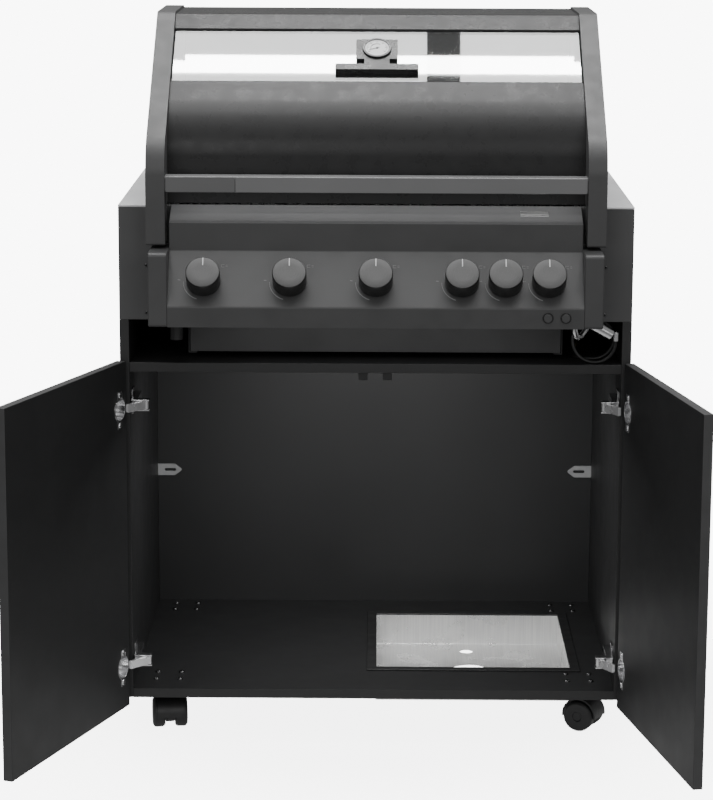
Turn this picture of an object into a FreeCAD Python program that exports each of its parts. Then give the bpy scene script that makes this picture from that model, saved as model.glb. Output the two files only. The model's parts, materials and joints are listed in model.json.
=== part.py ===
"""Gas barbecue grill with a glass-fronted hood, built into a two-door cabinet module on casters.

Millimetres.  X runs across the front (+X right), Y runs from the front to the back and Z is up.
X = 0 is the mid-plane, Y = 0 the front face of the cabinet boards, Z = 0 the floor.
"""
import FreeCAD, Part
import math
import os
import re

Vector = FreeCAD.Vector
Rotation = FreeCAD.Rotation
Placement = FreeCAD.Placement

doc = FreeCAD.newDocument("gas_grill")

# ---------------------------------------------------------------------------------------------
# Driving dimensions
# ---------------------------------------------------------------------------------------------
DIMENSIONS = {
    # cabinet boards
    "cabinet_width": 800, "cabinet_depth": 545, "board": 15,
    "cabinet_bottom": 67, "cabinet_top": 859, "worktop_sheet": 3,
    "shelf_bottom": 599, "fascia_bottom": 682, "fascia_inner": 346,
    # bottle well in the floor board
    "well_centre_x": 164, "well_centre_y": 277, "well_opening": 322, "well_frame": 350,
    "well_floor": 28, "well_sheet": 1.5, "well_frame_thick": 3,
    "well_vent_radius": 36, "well_drain_radius": 11,
    # doors, modelled standing open
    "door_width": 397, "door_height": 559, "door_bottom": 60, "door_gap": 1,
    "door_axis_x": 400, "door_axis_y": -12.4, "door_open_left": 110.5, "door_open_right": 101.2,
    # concealed hinges
    "hinge_low": 128, "hinge_high": 545, "cup_radius": 17.5, "cup_depth": 11.5, "cup_from_edge": 22.5,
    "link_pivot_x": 360, "link_pivot_y": 6, "link_length": 44, "link_rest_turn": 133.7,
    "link_ratio": 1.21, "link_pin": 2, "running_fit": 0.05,
    # casters
    "caster_x": 333, "caster_front_y": 71, "caster_rear_y": 486, "caster_trail": 11,
    "caster_bolt_pitch": 38, "caster_plate": 56, "caster_plate_thick": 2,
    "wheel_radius": 25, "wheel_inner": 8, "wheel_outer": 28, "hood_radius": 29, "hood_half": 21,
    "axle_radius": 3, "stem_radius": 4,
    # hood (lid)
    "casting_outer": 351, "casting_width": 29, "lid_pivot_y": 415, "lid_pivot_z": 900,
    "lid_pin_radius": 5, "lid_sheet": 2, "glass_thick": 5,
    "slope_run": 1000, "slope_rise": 739.7, "inset_height": 995.4,
    "handle_front": -72, "handle_back": -40, "handle_low": 890, "handle_high": 915,
    # burner housing
    "housing_outer": 345, "housing_front": -120, "housing_low": 691, "housing_ledge": 804,
    "housing_top": 864, "housing_back": 400, "panel_sheet": 2,
    "panel_lip_top": 722, "panel_slope_top_y": -61, "panel_slope_top_z": 800,
    "panel_band_top": 842.5, "ledge_back_y": -8, "ledge_back_z": 864,
    "firebox_front": -10, "firebox_low": 692, "firebox_top": 860, "firebox_sheet": 2,
    # controls
    "knob_radius": 26, "knob_depth": 30, "knob_up_slope": 44, "knob_stem": 4, "knob_gap": 1.5,
    "button_radius": 6.5, "button_height": 708, "bezel_radius": 8.3,
    # drip tray
    "tray_half_width": 292, "tray_front": 40, "tray_back": 398, "tray_low": 625, "tray_high": 686,
    "tray_sheet": 1.5,
    # gas line
    "manifold_radius": 9, "manifold_half": 296, "hose_radius": 3,
    "burner_radius": 12.5, "burner_height": 752, "grate_height": 838,
}

sheet = doc.addObject("Spreadsheet::Sheet", "Dimensions")
for row, (alias, number) in enumerate(DIMENSIONS.items(), start=1):
    sheet.set(f"A{row}", alias)
    sheet.set(f"B{row}", str(number))
    sheet.setAlias(f"B{row}", alias)
doc.recompute()


def dim(alias):
    """The number that the sheet holds under an alias."""
    return float(getattr(sheet, alias))


NODES = []        # the sub-parts, in the order they are written


# ---------------------------------------------------------------------------------------------
# Building blocks
# ---------------------------------------------------------------------------------------------
def linked(text):
    """An expression in which each dimension's name points at its cell."""
    return re.sub(r"[a-z_]{3,}", lambda m: "Dimensions." + m.group() if m.group() in DIMENSIONS
                  else m.group(), str(text))


def value(text):
    """The number that such an expression has at the sheet's values."""
    probe = re.sub(r"[a-z_]{3,}", lambda m: repr(dim(m.group())), str(text))
    total = FreeCAD.Units.Quantity(probe)
    return float(total.Value)


def bind(thing, name, text):
    thing.setExpression(name, linked(text))


def place(thing, base, axis=(0, 0, 1), degrees=0.0):
    """Turns a primitive about its own origin, and binds where that origin stands."""
    thing.Placement = Placement(Vector(), Rotation(Vector(*axis), degrees))
    for letter, text in zip("xyz", base):
        bind(thing, "Placement.Base." + letter, text)
    return thing


def box(name, low, size, **turn):
    made = doc.addObject("Part::Box", name)
    for side, text in zip(("Length", "Width", "Height"), size):
        bind(made, side, text)
    return place(made, low, **turn)


ALONG_X = {"axis": (0, 1, 0), "degrees": 90}
ALONG_Y = {"axis": (1, 0, 0), "degrees": -90}


def rod(name, base, radius, length, **turn):
    """A round bar that starts at base and runs up, or along the turned direction."""
    made = doc.addObject("Part::Cylinder", name)
    bind(made, "Radius", radius)
    bind(made, "Height", length)
    return place(made, base, **turn)


def cut(name, base, tool):
    made = doc.addObject("Part::Cut", name)
    made.Base = base
    made.Tool = tool
    return made


def fuse(name, pieces):
    made = doc.addObject("Part::MultiFuse", name)
    made.Shapes = pieces
    return made


def group(name, pieces):
    """Separate solids that share one node."""
    made = doc.addObject("Part::Compound", name)
    made.Links = pieces
    return made


def solid(name, shape, placement=None):
    """A piece whose shape is worked out directly from the sheet's values."""
    made = doc.addObject("Part::Feature", name)
    made.Shape = shape
    if placement is not None:
        made.Placement = placement
    return made


def node(name, thing):
    """Declares a finished sub-part under the name of its file."""
    thing.Label = name
    NODES.append(thing)
    return thing


def offset_path(points, distance):
    """The same open path moved sideways to its left by a distance, with mitred corners."""
    moved = []
    for index, (a, b) in enumerate(points):
        normals = []
        for start, end in ((index - 1, index), (index, index + 1)):
            if 0 <= start and end < len(points):
                run = points[end][0] - points[start][0]
                rise = points[end][1] - points[start][1]
                length = math.hypot(run, rise)
                normals.append((-rise / length, run / length))
        mean_a = sum(n[0] for n in normals) / len(normals)
        mean_b = sum(n[1] for n in normals) / len(normals)
        square = mean_a ** 2 + mean_b ** 2
        moved.append((a + distance * mean_a / square, b + distance * mean_b / square))
    return moved


def outline(corners):
    """Edges of a closed outline; each corner is (a, b, radius), and the radius may be nought."""
    ends = []
    count = len(corners)
    for index, (a, b, radius) in enumerate(corners):
        here = Vector(a, b, 0)
        to_last = Vector(*corners[index - 1][:2], 0) - here
        to_next = Vector(*corners[(index + 1) % count][:2], 0) - here
        to_last.normalize()
        to_next.normalize()
        if radius == 0:
            ends.append((here, here, here))
            continue
        half = to_last.getAngle(to_next) / 2
        back = radius / math.tan(half)
        bisector = (to_last + to_next).normalize()
        middle = here + bisector * (radius / math.sin(half) - radius)
        ends.append((here + to_last * back, middle, here + to_next * back))
    edges = []
    for index, (start, middle, end) in enumerate(ends):
        if start.distanceToPoint(end) > 0:
            edges.append(Part.Arc(start, middle, end))
        edges.append(Part.LineSegment(end, ends[(index + 1) % count][0]))
    return edges


def plane_of(body, role):
    return next(item for item in body.Origin.OriginFeatures if item.Role == role)


def padded(name, corners, thickness, start):
    """A plate whose outline is drawn in the YZ plane and which runs along +X from start."""
    body = doc.addObject("PartDesign::Body", name)
    drawing = body.newObject("Sketcher::SketchObject", name + "_outline")
    drawing.AttachmentSupport = (plane_of(body, "YZ_Plane"), [""])
    drawing.MapMode = "FlatFace"
    drawing.addGeometry(outline(corners), False)
    pad = body.newObject("PartDesign::Pad", name + "_pad")
    pad.Profile = drawing
    bind(pad, "Length", thickness)
    bind(body, "Placement.Base.x", start)
    return body


def turned(name, corners, base, axis=(1, 0, 0), degrees=0.0):
    """A turned piece: its half section, given as (radius, height, corner radius), spins about Z."""
    body = doc.addObject("PartDesign::Body", name)
    drawing = body.newObject("Sketcher::SketchObject", name + "_section")
    drawing.AttachmentSupport = (plane_of(body, "XZ_Plane"), [""])
    drawing.MapMode = "FlatFace"
    drawing.addGeometry(outline(corners), False)
    spun = body.newObject("PartDesign::Revolution", name + "_turned")
    spun.Profile = drawing
    spun.ReferenceAxis = (drawing, ["V_Axis"])
    spun.Angle = 360
    return place(body, base, axis, degrees)


def folded(name, path, sheet_thickness, radii, width, start):
    """A bent sheet: an open path in the YZ plane, thickened to its right, running along +X."""
    thick = value(sheet_thickness)
    inner = offset_path(path, -thick)
    corners = [(a, b, radius) for (a, b), radius in zip(path, radii)]
    back = [(a, b, max(radius - thick, 0)) for (a, b), radius in zip(inner, radii)]
    return padded(name, corners + back[::-1], width, start)


# ---------------------------------------------------------------------------------------------
# Casters: a plate and stem on the cabinet, a swivelling hood, and a pair of wheels on an axle
# ---------------------------------------------------------------------------------------------
CASTERS = {
    "front_left": ("-caster_x", "caster_front_y", 8),
    "front_right": ("caster_x", "caster_front_y", 62),
    "rear_left": ("-caster_x", "caster_rear_y", -24),
    "rear_right": ("caster_x", "caster_rear_y", 35),
}
BOLT_CORNERS = [(sx, sy) for sx in (-1, 1) for sy in (-1, 1)]


def bolt_rods(tag, x, y, radius, low, height):
    return [rod(f"{tag}_{index}", (f"{x} + {sx} * caster_bolt_pitch / 2",
                                   f"{y} + {sy} * caster_bolt_pitch / 2", low), radius, height)
            for index, (sx, sy) in enumerate(BOLT_CORNERS)]


def make_caster_mounts():
    plates = []
    bolts = []
    holes = []
    for corner, (x, y, _) in CASTERS.items():
        plate = box("plate_" + corner,
                    (f"{x} - caster_plate / 2", f"{y} - caster_plate / 2",
                     "cabinet_bottom - caster_plate_thick"),
                    ("caster_plate", "caster_plate", "caster_plate_thick"))
        drilled = cut("plate_drilled_" + corner, plate,
                      fuse("plate_holes_" + corner, bolt_rods("plate_hole_" + corner, x, y, 3, 60, 12)))
        stem = rod("stem_" + corner, (x, y, 51), "stem_radius", "cabinet_bottom - 51")
        plates.append(fuse("plate_and_stem_" + corner, [drilled, stem]))
        shanks = bolt_rods("shank_" + corner, x, y, 2.5, 63, "cabinet_bottom + board - 63")
        heads = bolt_rods("head_" + corner, x, y, 5, "cabinet_bottom + board", 3)
        bolts += [fuse(f"bolt_{corner}_{index}", list(pair))
                  for index, pair in enumerate(zip(shanks, heads))]
        holes += bolt_rods("board_hole_" + corner, x, y, 3, 60, 30)
    node("caster_plates", group("caster_plate_set", plates))
    return bolts, holes


def make_caster(corner, x, y, turn):
    trail = ("-caster_trail",)
    hood = rod("hood_" + corner, ("-hood_half", *trail, "wheel_radius"), "hood_radius",
               "2 * hood_half", **ALONG_X)
    hollow = rod("hood_hollow_" + corner, ("-hood_half - 1", *trail, "wheel_radius"),
                 "wheel_radius + 1.2", "2 * hood_half + 2", **ALONG_X)
    shell = cut("hood_shell_" + corner, hood, hollow)
    below = box("hood_below_" + corner, (-40, -60, -20), (80, 120, 42))
    shell = cut("hood_upper_" + corner, shell, below)
    web = rod("web_" + corner, (-6.5, *trail, "wheel_radius"), "wheel_radius - 8", 13, **ALONG_X)
    web_top = box("web_top_" + corner, (-6.5, "-caster_trail - 12", "wheel_radius"), (13, 24, 27))
    boss = rod("boss_" + corner, (0, 0, 46), 17, 18.8)
    body = fuse("swivel_solid_" + corner, [shell, web, web_top, boss])
    clear = rod("wheel_clear_a_" + corner, (6.6, *trail, "wheel_radius"), "wheel_radius + 1.2",
                40, **ALONG_X)
    clear_b = rod("wheel_clear_b_" + corner, (-46.6, *trail, "wheel_radius"), "wheel_radius + 1.2",
                  40, **ALONG_X)
    bore = rod("stem_bore_" + corner, (0, 0, 50), "stem_radius + running_fit", 20)
    axle_bore = rod("axle_bore_" + corner, (-10, *trail, "wheel_radius"), "axle_radius + running_fit",
                    20, **ALONG_X)
    body = cut("swivel_cut_" + corner, body,
               fuse("swivel_bores_" + corner, [clear, clear_b, bore, axle_bore]))
    place(body, (x, y, 0), degrees=turn)
    node("caster_swivel_" + corner, body)

    half = [(0, 0, 0), (22, 0, 2), (25, 4, 4), (25, 17, 4), (21, 20, 2), (8, 20, 2), (7, 18, 1), (0, 18, 0)]
    right = turned("wheel_r_" + corner, half, ("wheel_inner", "-caster_trail", "wheel_radius"),
                   (0, 1, 0), 90)
    left = turned("wheel_l_" + corner, half, ("-wheel_inner", "-caster_trail", "wheel_radius"),
                  (0, 1, 0), -90)
    axle = rod("axle_" + corner, ("-wheel_outer + 4", *trail, "wheel_radius"), "axle_radius",
               "2 * wheel_outer - 8", **ALONG_X)
    pair = fuse("wheel_pair_" + corner, [left, right, axle])
    place(pair, (x, y, 0), degrees=turn)
    node("caster_wheels_" + corner, pair)


# ---------------------------------------------------------------------------------------------
# Cabinet boards, bottle well and small cabinet fittings
# ---------------------------------------------------------------------------------------------
def make_cabinet(bolts, bolt_holes):
    height = "cabinet_top - cabinet_bottom"
    inner_width = "cabinet_width - 2 * board"
    back = "cabinet_depth - board"
    notch = ("board", "board", "cabinet_top - fascia_bottom")
    left = cut("side_left", box("side_left_board", ("-cabinet_width / 2", 0, "cabinet_bottom"),
                                ("board", "cabinet_depth", height)),
               box("side_left_notch", ("-cabinet_width / 2", 0, "fascia_bottom"), notch))
    right = cut("side_right", box("side_right_board", ("cabinet_width / 2 - board", 0, "cabinet_bottom"),
                                  ("board", "cabinet_depth", height)),
                box("side_right_notch", ("cabinet_width / 2 - board", 0, "fascia_bottom"), notch))
    node("side_panels", group("side_set", [left, right]))

    board_low = ("-cabinet_width / 2 + board", 0, "cabinet_bottom")
    floor = box("floor_board", board_low, (inner_width, back, "board"))
    well = box("floor_well_hole", ("well_centre_x - well_opening / 2", "well_centre_y - well_opening / 2",
                                   "cabinet_bottom - 1"), ("well_opening", "well_opening", "board + 2"))
    node("bottom_panel", cut("bottom_board", floor, fuse("floor_holes", [well] + bolt_holes)))
    node("shelf_panel", box("shelf_board", ("-cabinet_width / 2 + board", 0, "shelf_bottom"),
                            (inner_width, back, "board")))
    node("back_panel", box("back_board", ("-cabinet_width / 2 + board", back, "cabinet_bottom"),
                           (inner_width, "board", height)))

    plate = ("cabinet_width / 2 - fascia_inner", "board", "cabinet_top - fascia_bottom")
    fascias = [box("fascia_left", ("-cabinet_width / 2", 0, "fascia_bottom"), plate),
               box("fascia_right", ("fascia_inner", 0, "fascia_bottom"), plate)]
    node("fascia_plates", group("fascia_set", fascias))
    screws = [rod(f"fascia_screw_{side}_{level}", (f"{side} * 357", -1.2, level), 3, 1.2, **ALONG_Y)
              for side in (-1, 1) for level in (693, 768)]
    node("cabinet_fasteners", group("fastener_set", bolts + screws))

    strip_top = "cabinet_top"
    side_strip = ("cabinet_width / 2 - 353", "cabinet_depth", "worktop_sheet")
    strips = [box("strip_left", ("-cabinet_width / 2", 0, strip_top), side_strip),
              box("strip_right", (353, 0, strip_top), side_strip),
              box("strip_rear", (-353, "housing_back + 34", strip_top),
                  (706, "cabinet_depth - housing_back - 34", "worktop_sheet"))]
    node("worktop_strips", fuse("strip_set", strips))
    rail = ("cabinet_width / 2 - board - housing_outer", 360, 14)
    rails = [box("rail_left", ("-cabinet_width / 2 + board", 20, "cabinet_top - 14"), rail),
             box("rail_right", ("housing_outer", 20, "cabinet_top - 14"), rail)]

    outer = "well_opening - 1"
    corner = ("well_centre_x - well_opening / 2 + 0.5", "well_centre_y - well_opening / 2 + 0.5")
    tray = box("tray_block", (*corner, "well_floor"), (outer, outer, "cabinet_bottom + board - well_floor"))
    inside = "well_opening - 1 - 2 * well_sheet"
    space = box("tray_space", (f"{corner[0]} + well_sheet", f"{corner[1]} + well_sheet",
                               "well_floor + well_sheet"), (inside, inside, 100))
    vent = rod("tray_vent", ("well_centre_x", "well_centre_y", 0), "well_vent_radius", 60)
    drain = rod("tray_drain", (162, 392, 0), "well_drain_radius", 60)
    open_tray = cut("tray_open", tray, fuse("tray_openings", [space, vent, drain]))
    frame = box("frame_block", ("well_centre_x - well_frame / 2", "well_centre_y - well_frame / 2",
                                "cabinet_bottom + board"), ("well_frame", "well_frame", "well_frame_thick"))
    hole = box("frame_hole", (f"{corner[0]} + well_sheet", f"{corner[1]} + well_sheet", 60),
               (inside, inside, 60))
    node("bottle_well", group("well_set", [open_tray, cut("frame_ring", frame, hole)]))

    tongue = [(0, 0, 0), (30, 0, 6), (44, 10.5, 3), (30, 21, 6), (0, 21, 0)]
    clips = []
    for side in (-1, 1):
        blade = doc.addObject("PartDesign::Body", "clip_" + ("left" if side < 0 else "right"))
        drawing = blade.newObject("Sketcher::SketchObject", blade.Name + "_outline")
        drawing.AttachmentSupport = (plane_of(blade, "XZ_Plane"), [""])
        drawing.MapMode = "FlatFace"
        points = [(-side * a, b, r) for a, b, r in tongue]
        slot = [(-side * a, b, 2.4) for a, b in ((12, 8), (32, 8), (32, 13), (12, 13))]
        drawing.addGeometry(outline(points) + outline(slot), False)
        pad = blade.newObject("PartDesign::Pad", blade.Name + "_pad")
        pad.Profile = drawing
        bind(pad, "Length", 3)
        place(blade, (f"{side} * (cabinet_width / 2 - board)", back, 311))
        clips.append(blade)
    catches = [box(f"catch_{side}", (f"{side} * 19 - 7", 3, "shelf_bottom - 12"), (14, 18, 12))
               for side in (-1, 1)]
    node("clips_and_catches", group("clip_set", clips + catches))
    return rails


# ---------------------------------------------------------------------------------------------
# Doors and concealed hinges.  A door is built about its hinge axis in its closed direction, then
# turned open.
# ---------------------------------------------------------------------------------------------
HINGE_LEVELS = {"low": "hinge_low", "high": "hinge_high"}


def make_door(side_name, side, opened):
    inner = "-door_gap - door_axis_y"
    start = "door_gap / 2" if side < 0 else "-door_gap / 2 - door_width"
    slab = box("slab_" + side_name, (start, f"{inner} - board", "door_bottom"),
               ("door_width", "board", "door_height"))
    centre = f"{-side} * (door_gap / 2 + cup_from_edge)"
    pockets = []
    cups = []
    for level_name, level in HINGE_LEVELS.items():
        tag = f"{side_name}_{level_name}"
        pockets.append(rod("cup_hole_" + tag, (centre, f"{inner} - cup_depth - 0.5", level),
                           "cup_radius + running_fit", 40, **ALONG_Y))
        pot = rod("pot_" + tag, (centre, f"{inner} - cup_depth", level), "cup_radius", "cup_depth",
                  **ALONG_Y)
        ears = box("cup_ears_" + tag, (f"{centre} - 8", inner, f"{level} - 30"), (16, 1, 60))
        rim = rod("cup_rim_" + tag, (centre, inner, level), 19, 1, **ALONG_Y)
        hollow = rod("pot_hollow_" + tag, (centre, f"{inner} - cup_depth + 1", level),
                     "cup_radius - 1", 40, **ALONG_Y)
        screws = [rod(f"cup_screw_{tag}_{sign}", (centre, f"{inner} + 1", f"{level} + {sign} * 24"),
                      4.5, 1.2, **ALONG_Y) for sign in (-1, 1)]
        hollowed = cut("cup_open_" + tag, fuse("cup_solid_" + tag, [pot, ears, rim]), hollow)
        cups.append(fuse("cup_" + tag, [hollowed] + screws))
    axis = (f"{side} * door_axis_x", "door_axis_y", 0)
    turn = {"axis": (0, 0, 1), "degrees": side * opened}
    board = cut("door_board_" + side_name, slab, fuse("cup_holes_" + side_name, pockets))
    node("door_" + side_name, place(board, axis, **turn))
    node("hinge_cups_" + side_name, place(group("cups_" + side_name, cups), axis, **turn))


def make_hinge_arms_and_links():
    arms = []
    for side_name, side in (("left", -1), ("right", 1)):
        opened = dim("door_open_left") if side < 0 else dim("door_open_right")
        links = []
        for level_name, level in HINGE_LEVELS.items():
            tag = f"{side_name}_{level_name}"
            wall = f"{side} * (cabinet_width / 2 - board)"
            base = 0 if side < 0 else 1

            def inward(reach, width):
                """The low X of a block that starts reach from the wall and is width across."""
                return f"{wall} - {side} * {reach} - {base} * {width}"

            wing = box("wing_" + tag, (inward(0, 2), 32, f"{level} - 20"), (2, 30, 40))
            spine = box("spine_" + tag, (inward(2, 10), 12, f"{level} - 9"), (10, 64, 18))
            tongues = [box(f"tongue_{tag}_{sign}", (inward(2, 28), 1, f"{level} + {sign} * 8 - 1"),
                           (28, 14, 2)) for sign in (-1, 1)]
            pin = rod("link_pin_" + tag, (f"{side} * link_pivot_x", "link_pivot_y", f"{level} - 9"),
                      "link_pin", 18)
            arms.append(fuse("arm_" + tag, [wing, spine, pin] + tongues))
            bar = box("link_bar_" + tag, (0, -2.5, f"{level} - 6.5"), ("link_length - 4", 5, 13))
            eye = rod("link_eye_" + tag, (0, 0, f"{level} - 6.5"), 4, 13)
            bore = rod("link_bore_" + tag, (0, 0, f"{level} - 12"), "link_pin + running_fit", 24)
            links.append(cut("link_" + tag, fuse("link_solid_" + tag, [bar, eye]), bore))
        rest = (dim("link_rest_turn") if side < 0 else dim("link_ratio") * opened)
        degrees = -rest if side < 0 else 180 + rest
        node("hinge_links_" + side_name,
             place(group("links_" + side_name, links),
                   (f"{side} * link_pivot_x", "link_pivot_y", 0), degrees=degrees))
    node("hinge_arms", group("hinge_arm_set", arms))


# ---------------------------------------------------------------------------------------------
# Burner housing: cast side cheeks, bent control panel, firebox and what is inside it
# ---------------------------------------------------------------------------------------------
SLOPE_LENGTH = ("sqrt((panel_slope_top_y - housing_front)^2"
                " + (panel_slope_top_z - panel_lip_top)^2)")
SLOPE_TURN = math.degrees(math.atan2(dim("panel_slope_top_z") - dim("panel_lip_top"),
                                     dim("panel_slope_top_y") - dim("housing_front")))
ON_SLOPE = (f"housing_front + knob_up_slope * (panel_slope_top_y - housing_front) / {SLOPE_LENGTH}",
            f"panel_lip_top + knob_up_slope * (panel_slope_top_z - panel_lip_top) / {SLOPE_LENGTH}")
KNOB_PLACES = (-262, -131, 0, 131, 197, 263)
BUTTON_PLACES = {"light": 261, "ignition": 288}
CHEEK_INNER = "casting_outer - casting_width - 6"      # inner faces of the housing's cast cheeks
BURNER_PLACES = (-225, -75, 75, 225)


def on_panel(thing, x):
    """Stands a piece, drawn about Z = 0 at the panel's face, square to the sloping panel."""
    return place(thing, (x, *ON_SLOPE), (1, 0, 0), SLOPE_TURN)


def make_housing():
    front, low, back = dim("housing_front"), dim("housing_low"), dim("housing_back")
    step = dim("ledge_back_y") - 2
    cheek = [(front, low, 4), (back, low, 3), (back, dim("housing_top"), 3),
             (step, dim("housing_top"), 3), (step, dim("housing_ledge"), 3),
             (front, dim("housing_ledge"), 6)]
    width = f"housing_outer - ({CHEEK_INNER})"
    cheeks = [padded("cheek_left", cheek, width, "-housing_outer"),
              padded("cheek_right", cheek, width, CHEEK_INNER)]
    node("base_castings", group("cheek_set", cheeks))

    full_width = f"2 * ({CHEEK_INNER})"
    path = [(front, low), (front, dim("panel_lip_top")),
            (dim("panel_slope_top_y"), dim("panel_slope_top_z")),
            (dim("panel_slope_top_y"), dim("panel_band_top"))]
    skin = folded("panel_skin", path, "panel_sheet", (0, 5, 3, 0), full_width, f"-({CHEEK_INNER})")
    holes = [on_panel(group(f"stem_hole_{x}", [rod(f"stem_hole_rod_{x}", (0, 0, -10), 6, 20)]), x)
             for x in KNOB_PLACES]
    holes += [rod("button_hole_" + tag, (x, "housing_front - 5", "button_height"),
                  "button_radius + 0.85", 20, **ALONG_Y) for tag, x in BUTTON_PLACES.items()]
    panel = cut("panel_drilled", skin, fuse("panel_holes", holes))
    ledge = [(dim("panel_slope_top_y"), dim("panel_band_top")),
             (dim("ledge_back_y"), dim("ledge_back_z"))]
    ledge_skin = folded("ledge_skin", ledge, "panel_sheet", (0, 0), full_width, f"-({CHEEK_INNER})")
    node("control_panel", group("panel_set", [panel, ledge_skin]))

    bezels = []
    for tag, x in BUTTON_PLACES.items():
        flange = rod("bezel_flange_" + tag, (x, "housing_front - 1.5", "button_height"),
                     "bezel_radius", 1.5, **ALONG_Y)
        collar = rod("bezel_collar_" + tag, (x, "housing_front", "button_height"),
                     "button_radius + 0.8", 10, **ALONG_Y)
        bore = rod("bezel_bore_" + tag, (x, "housing_front - 5", "button_height"),
                   "button_radius + running_fit", 30, **ALONG_Y)
        bezels.append(cut("bezel_" + tag, fuse("bezel_solid_" + tag, [flange, collar]), bore))
        cap = [(0, 0, 0), (dim("button_radius"), 0, 0), (dim("button_radius"), 13.5, 1), (0, 13.5, 0)]
        node("button_" + tag, turned("cap_" + tag, cap, (x, "housing_front + 9", "button_height"),
                                     (1, 0, 0), 90))
    node("button_bezels", group("bezel_set", bezels))


def make_firebox():
    width = f"2 * ({CHEEK_INNER})"
    start = f"-({CHEEK_INNER})"
    block = box("firebox_block", (start, "firebox_front", "firebox_low"),
                (width, "housing_back - firebox_front", "firebox_top - firebox_low"))
    space = box("firebox_space", (f"{start} + firebox_sheet", "firebox_front + firebox_sheet",
                                  "firebox_low + firebox_sheet"),
                (f"{width} - 2 * firebox_sheet", "housing_back - firebox_front - 2 * firebox_sheet", 300))
    grease = box("firebox_grease_slot", (-250, 70, 600), (500, 300, 200))
    node("firebox", cut("firebox_shell", block, fuse("firebox_openings", [space, grease])))

    inside_front = "firebox_front + firebox_sheet"
    inside = "housing_back - firebox_front - 2 * firebox_sheet"
    burners = [rod(f"burner_{x}", (x, inside_front, "burner_height"), "burner_radius", inside, **ALONG_Y)
               for x in BURNER_PLACES]
    tents = []
    for x in BURNER_PLACES:
        ridge = [(-38, -22, 0), (0, 0, 0), (38, -22, 0), (36, -22, 0), (0, -2.4, 0), (-36, -22, 0)]
        tent = doc.addObject("PartDesign::Body", "tent_" + str(x).replace("-", "m"))
        drawing = tent.newObject("Sketcher::SketchObject", tent.Name + "_section")
        drawing.AttachmentSupport = (plane_of(tent, "XZ_Plane"), [""])
        drawing.MapMode = "FlatFace"
        drawing.addGeometry(outline(ridge), False)
        pad = tent.newObject("PartDesign::Pad", tent.Name + "_pad")
        pad.Profile = drawing
        bind(pad, "Length", inside)
        tents.append(place(tent, (x, f"{inside_front} + {inside}", "burner_height + 50")))
    node("heat_tents", group("tent_set", tents))
    rear = box("rear_burner_box", (-200, "housing_back - firebox_sheet - 18", 806), (400, 18, 24))
    node("burners", group("burner_set", burners + [rear]))

    bars = []
    bar_count = 33
    pitch = 18.5
    for index in range(bar_count):
        x = (index - (bar_count - 1) / 2) * pitch
        bars.append(box(f"grate_bar_{index}", (x - 3, 4, "grate_height"), (6, 370, 10)))
    cross = [box(f"grate_cross_{y}", (-312, y, "grate_height - 6"), (624, 8, 8)) for y in (30, 180, 340)]
    edges = [box(f"grate_edge_{side}", (f"{side} * 307.5 - 4.5", 4, "grate_height"), (9, 370, 10))
             for side in (-1, 1)]
    lugs = [box(f"grate_lug_{side}_{y}", (f"{side} * 313 - 1", y, "grate_height"), (2, 20, 8))
            for side in (-1, 1) for y in (40, 320)]
    node("cooking_grates", fuse("grate_set", bars + cross + edges + lugs))
    shelf = [rod(f"rack_rod_{y}", (-280, y, 930), 2.5, 560, **ALONG_X) for y in range(250, 391, 20)]
    ends = [box(f"rack_end_{side}", (f"{side} * 270 - 2.5", 246, 926), (5, 148, 4))
            for side in (-1, 1)]
    legs = [rod(f"rack_leg_{side}_{y}", (f"{side} * 270", y, "grate_height + 10"), 2,
                "927 - grate_height - 10") for side in (-1, 1) for y in (260, 380)]
    node("warming_rack", fuse("rack", shelf + ends + legs))


def make_controls():
    valves = []
    for number, x in enumerate(KNOB_PLACES, start=1):
        block = box(f"valve_block_{number}", (-12, -12, "-panel_sheet - 32"), (24, 24, 32))
        bore = rod(f"valve_bore_{number}", (0, 0, -16), "knob_stem + running_fit", 30)
        valves.append(on_panel(cut(f"valve_{number}", block, bore), x))
        section = [(0, -14, 0), (dim("knob_stem"), -14, 0), (dim("knob_stem"), dim("knob_gap"), 0),
                   (dim("knob_radius"), dim("knob_gap"), 1),
                   (dim("knob_radius") - 1, dim("knob_gap") + dim("knob_depth"), 2.5),
                   (0, dim("knob_gap") + dim("knob_depth"), 0)]
        knob = turned(f"knob_solid_{number}", section, (0, 0, 0))
        node(f"knob_{number}", on_panel(knob, x))
    node("gas_valves", group("valve_set", valves))
    turn = math.radians(SLOPE_TURN)
    behind = 2 + 32 + dim("manifold_radius")
    place_y = f"{ON_SLOPE[0]} + {behind * math.sin(turn)}"
    place_z = f"{ON_SLOPE[1]} - {behind * math.cos(turn)}"
    return node("gas_manifold", rod("manifold", ("-manifold_half", place_y, place_z),
                                    "manifold_radius", "2 * manifold_half", **ALONG_X))


def make_tray(housing_rails):
    block = box("tray_box", ("-tray_half_width", "tray_front", "tray_low"),
                ("2 * tray_half_width", "tray_back - tray_front", "tray_high - tray_low"))
    inside = box("tray_inside", ("-tray_half_width + tray_sheet", "tray_front + tray_sheet",
                                 "tray_low + tray_sheet"),
                 ("2 * (tray_half_width - tray_sheet)", "tray_back - tray_front - 2 * tray_sheet", 100))
    node("drip_tray", cut("tray", block, inside))
    runners = []
    for side in (-1, 1):
        wall = box(f"runner_wall_{side}", (f"{side} * (tray_half_width + 2) - 1", "tray_front",
                                           "tray_low - 2.5"),
                   (2, "tray_back - tray_front", "housing_low + 1 - tray_low + 2.5"))
        foot = box(f"runner_foot_{side}", (f"{side} * (tray_half_width - 4) - 7", "tray_front",
                                           "tray_low - 2.5"), (14, "tray_back - tray_front", 2.3))
        runners.append(fuse(f"runner_{side}", [wall, foot]))
    node("support_rails", group("rail_set", housing_rails + runners))
    node("battery_holder", rod("battery_case", (-309, -21, "housing_low - 36"), 10, 36))


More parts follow.
